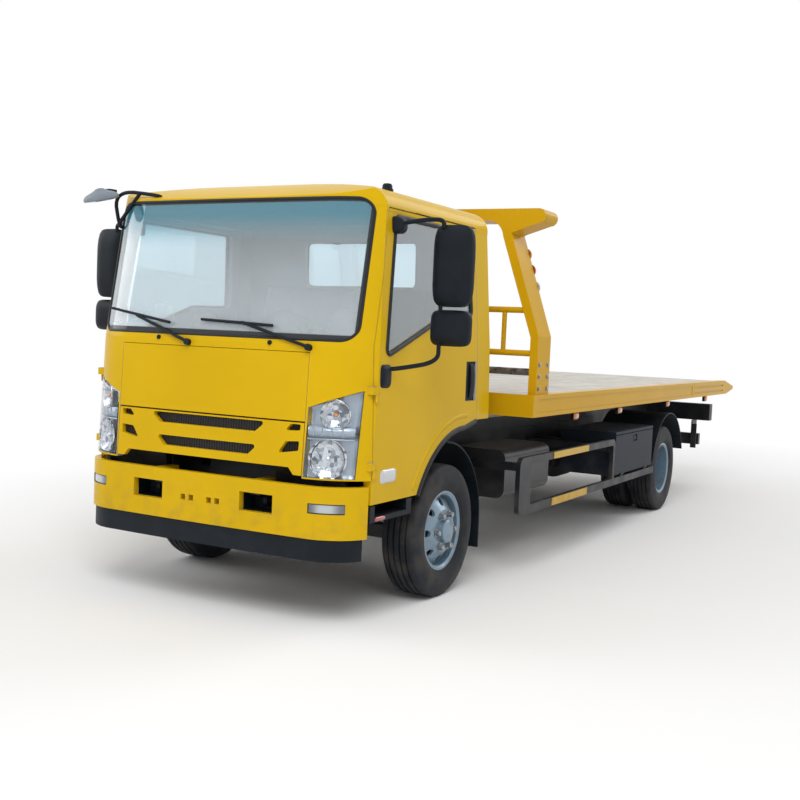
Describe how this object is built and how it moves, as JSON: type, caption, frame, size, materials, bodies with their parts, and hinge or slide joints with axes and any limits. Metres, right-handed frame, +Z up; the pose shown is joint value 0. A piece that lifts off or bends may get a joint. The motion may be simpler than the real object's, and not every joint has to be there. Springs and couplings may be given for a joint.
{
  "type": "flatbed tow truck",
  "caption": "Cab-over flatbed tow truck: tilting cab, steering front wheels, twin rear wheels, toolboxes, and a sliding, tilting bed with a headboard and winch",
  "frame": {"origin": "on the ground, at the middle of the bounding box in length and width", "axes": "+X to the front of the truck, +Y to its left, +Z up"},
  "size_m": [8.05, 2.66, 2.428],
  "materials": {
    "cab_yellow": "gloss yellow paint",
    "bed_yellow": "gloss golden yellow paint",
    "sleeve_yellow": "reflective yellow coating",
    "frame_black": "satin black chassis paint",
    "black_plastic": "grained black plastic",
    "deck_steel": "light grey chequer plate",
    "box_grey": "dark powder coat",
    "engine_iron": "cast and painted iron",
    "rim_silver": "silver wheel paint",
    "tyre": "rubber with ribbed tread",
    "glass": "tinted safety glass",
    "lamp_clear": "clear lamp lens",
    "lamp_red": "red lamp lens",
    "lamp_body": "pale lamp housing",
    "interior_grey": "grey moulded trim",
    "seat_fabric": "woven grey cloth",
    "steering_black": "soft black grip",
    "rod_chrome": "hard chromed rod",
    "cylinder_black": "black cylinder paint",
    "winch_steel": "worn steel"
  },
  "bodies": {
    "chassis": {"chassis_frame": "frame_black", "front_axle": "frame_black", "rear_axle": "frame_black", "drivetrain": "engine_iron", "radiator": "black_plastic", "tanks": "box_grey", "bumper": "cab_yellow", "bumper_lip": "black_plastic", "fog_lamps": "lamp_clear", "side_guards": "black_plastic", "guard_sleeves": "sleeve_yellow", "toolboxes": "box_grey", "mudguards": "black_plastic", "rear_beam": "frame_black", "tail_lamps": "lamp_red"},
    "cab": {"cab_floor": "frame_black", "cab_roof": "cab_yellow", "cab_front": "cab_yellow", "cab_back": "cab_yellow", "windscreen": "glass", "rear_window": "glass", "headlamps": "lamp_clear", "grille": "cab_yellow", "grille_insert": "black_plastic", "dashboard": "interior_grey", "seats": "seat_fabric", "cab_steps": "black_plastic", "wipers": "black_plastic", "kerb_mirror": "black_plastic"},
    "front_lid": {"front_lid": "cab_yellow"},
    "steering_wheel": {"steering_wheel": "steering_black"},
    "door_left": {"door_left": "cab_yellow", "door_glass_left": "glass", "mirror_left": "black_plastic"},
    "door_right": {"door_right": "cab_yellow", "door_glass_right": "glass", "mirror_right": "black_plastic"},
    "knuckle_left": {"knuckle_left": "frame_black"},
    "knuckle_right": {"knuckle_right": "frame_black"},
    "tie_rod": {"tie_rod": "frame_black"},
    "wheel_front_left": {"wheel_front_left": "rim_silver", "tyre_front_left": "tyre"},
    "wheel_front_right": {"wheel_front_right": "rim_silver", "tyre_front_right": "tyre"},
    "wheel_rear_left": {"wheels_rear_left": "rim_silver", "tyres_rear_left": "tyre"},
    "wheel_rear_right": {"wheels_rear_right": "rim_silver", "tyres_rear_right": "tyre"},
    "tilt_frame": {"tilt_frame": "frame_black"},
    "bed": {"bed_deck": "deck_steel", "slide_rod": "rod_chrome", "bed_rails": "bed_yellow", "headboard": "bed_yellow", "gantry_lamps": "lamp_body", "winch_frame": "frame_black"},
    "winch_drum": {"winch_drum": "winch_steel"},
    "lift_barrels": {"lift_barrels": "cylinder_black"},
    "lift_rods": {"lift_rods": "rod_chrome"},
    "toolbox_door_left": {"toolbox_door_left": "box_grey"},
    "toolbox_door_right": {"toolbox_door_right": "box_grey"}
  },
  "joints": [
    {"name": "steer_left", "type": "hinge", "parent": "chassis", "child": "knuckle_left", "pos_m": [2.895, 0.682, 0.3985], "axis": [0, 0, 1], "range_deg": [-36, 36]},
    {"name": "steer_right", "type": "hinge", "parent": "chassis", "child": "knuckle_right", "pos_m": [2.895, -0.682, 0.3985], "axis": [0, 0, 1], "range_deg": [-36, 36]},
    {"name": "tie_rod_swing", "type": "hinge", "parent": "knuckle_left", "child": "tie_rod", "pos_m": [2.705, 0.682, 0.29], "axis": [0, 0, 1], "range_deg": [-36, 36]},
    {"name": "steering_turn", "type": "hinge", "parent": "cab", "child": "steering_wheel", "pos_m": [3.485, 0.47, 1.44], "axis": [-0.5501, 0, 0.8351], "range_deg": [-540, 540]},
    {"name": "roll_front_left", "type": "hinge", "parent": "knuckle_left", "child": "wheel_front_left", "pos_m": [2.895, 0.84, 0.3985], "axis": [0, 1, 0], "continuous": true},
    {"name": "roll_front_right", "type": "hinge", "parent": "knuckle_right", "child": "wheel_front_right", "pos_m": [2.895, -0.84, 0.3985], "axis": [0, 1, 0], "continuous": true},
    {"name": "roll_rear_left", "type": "hinge", "parent": "chassis", "child": "wheel_rear_left", "pos_m": [-1.505, 0.825, 0.3985], "axis": [0, 1, 0], "continuous": true},
    {"name": "roll_rear_right", "type": "hinge", "parent": "chassis", "child": "wheel_rear_right", "pos_m": [-1.505, -0.825, 0.3985], "axis": [0, 1, 0], "continuous": true},
    {"name": "cab_tilt", "type": "hinge", "parent": "chassis", "child": "cab", "pos_m": [3.947, 0, 0.694], "axis": [0, 1, 0], "range_deg": [0, 45]},
    {"name": "door_left_swing", "type": "hinge", "parent": "cab", "child": "door_left", "pos_m": [3.795, 0.962, 1.4], "axis": [0, 0, -1], "range_deg": [0, 68]},
    {"name": "door_right_swing", "type": "hinge", "parent": "cab", "child": "door_right", "pos_m": [3.795, -0.962, 1.4], "axis": [0, 0, 1], "range_deg": [0, 68]},
    {"name": "front_lid_lift", "type": "hinge", "parent": "cab", "child": "front_lid", "pos_m": [3.973, 0, 1.446], "axis": [0, -1, 0], "range_deg": [0, 60]},
    {"name": "bed_tilt", "type": "hinge", "parent": "chassis", "child": "tilt_frame", "pos_m": [-3.505, 0, 0.9], "axis": [0, -1, 0], "range_deg": [0, 16]},
    {"name": "bed_slide", "type": "slide", "parent": "tilt_frame", "child": "bed", "axis": [-1, 0, 0], "range_m": [0, 3.3]},
    {"name": "lift_swing", "type": "hinge", "parent": "chassis", "child": "lift_barrels", "pos_m": [-2.793, 0, 0.45], "axis": [0, -1, 0], "range_deg": [0, 3.03]},
    {"name": "lift_stroke", "type": "slide", "parent": "lift_barrels", "child": "lift_rods", "axis": [0.0311, 0, 0.9995], "range_m": [0, 0.20005]},
    {"name": "winch_turn", "type": "hinge", "parent": "bed", "child": "winch_drum", "pos_m": [1.605, 0, 1.335], "axis": [0, 1, 0], "continuous": true},
    {"name": "toolbox_left_fold", "type": "hinge", "parent": "chassis", "child": "toolbox_door_left", "pos_m": [-0.36, 1.122, 0.49], "axis": [-1, 0, 0], "range_deg": [0, 90]},
    {"name": "toolbox_right_fold", "type": "hinge", "parent": "chassis", "child": "toolbox_door_right", "pos_m": [-0.36, -1.122, 0.49], "axis": [1, 0, 0], "range_deg": [0, 90]}
  ],
  "couplings": [
    {"joint": "steer_right", "follows": "steer_left", "ratio": 1},
    {"joint": "tie_rod_swing", "follows": "steer_left", "ratio": -1},
    {"joint": "steering_turn", "follows": "steer_left", "ratio": 15},
    {"joint": "lift_swing", "follows": "bed_tilt", "ratio": 0.18915},
    {"joint": "lift_stroke", "follows": "bed_tilt", "m_per_rad": 0.71637}
  ]
}
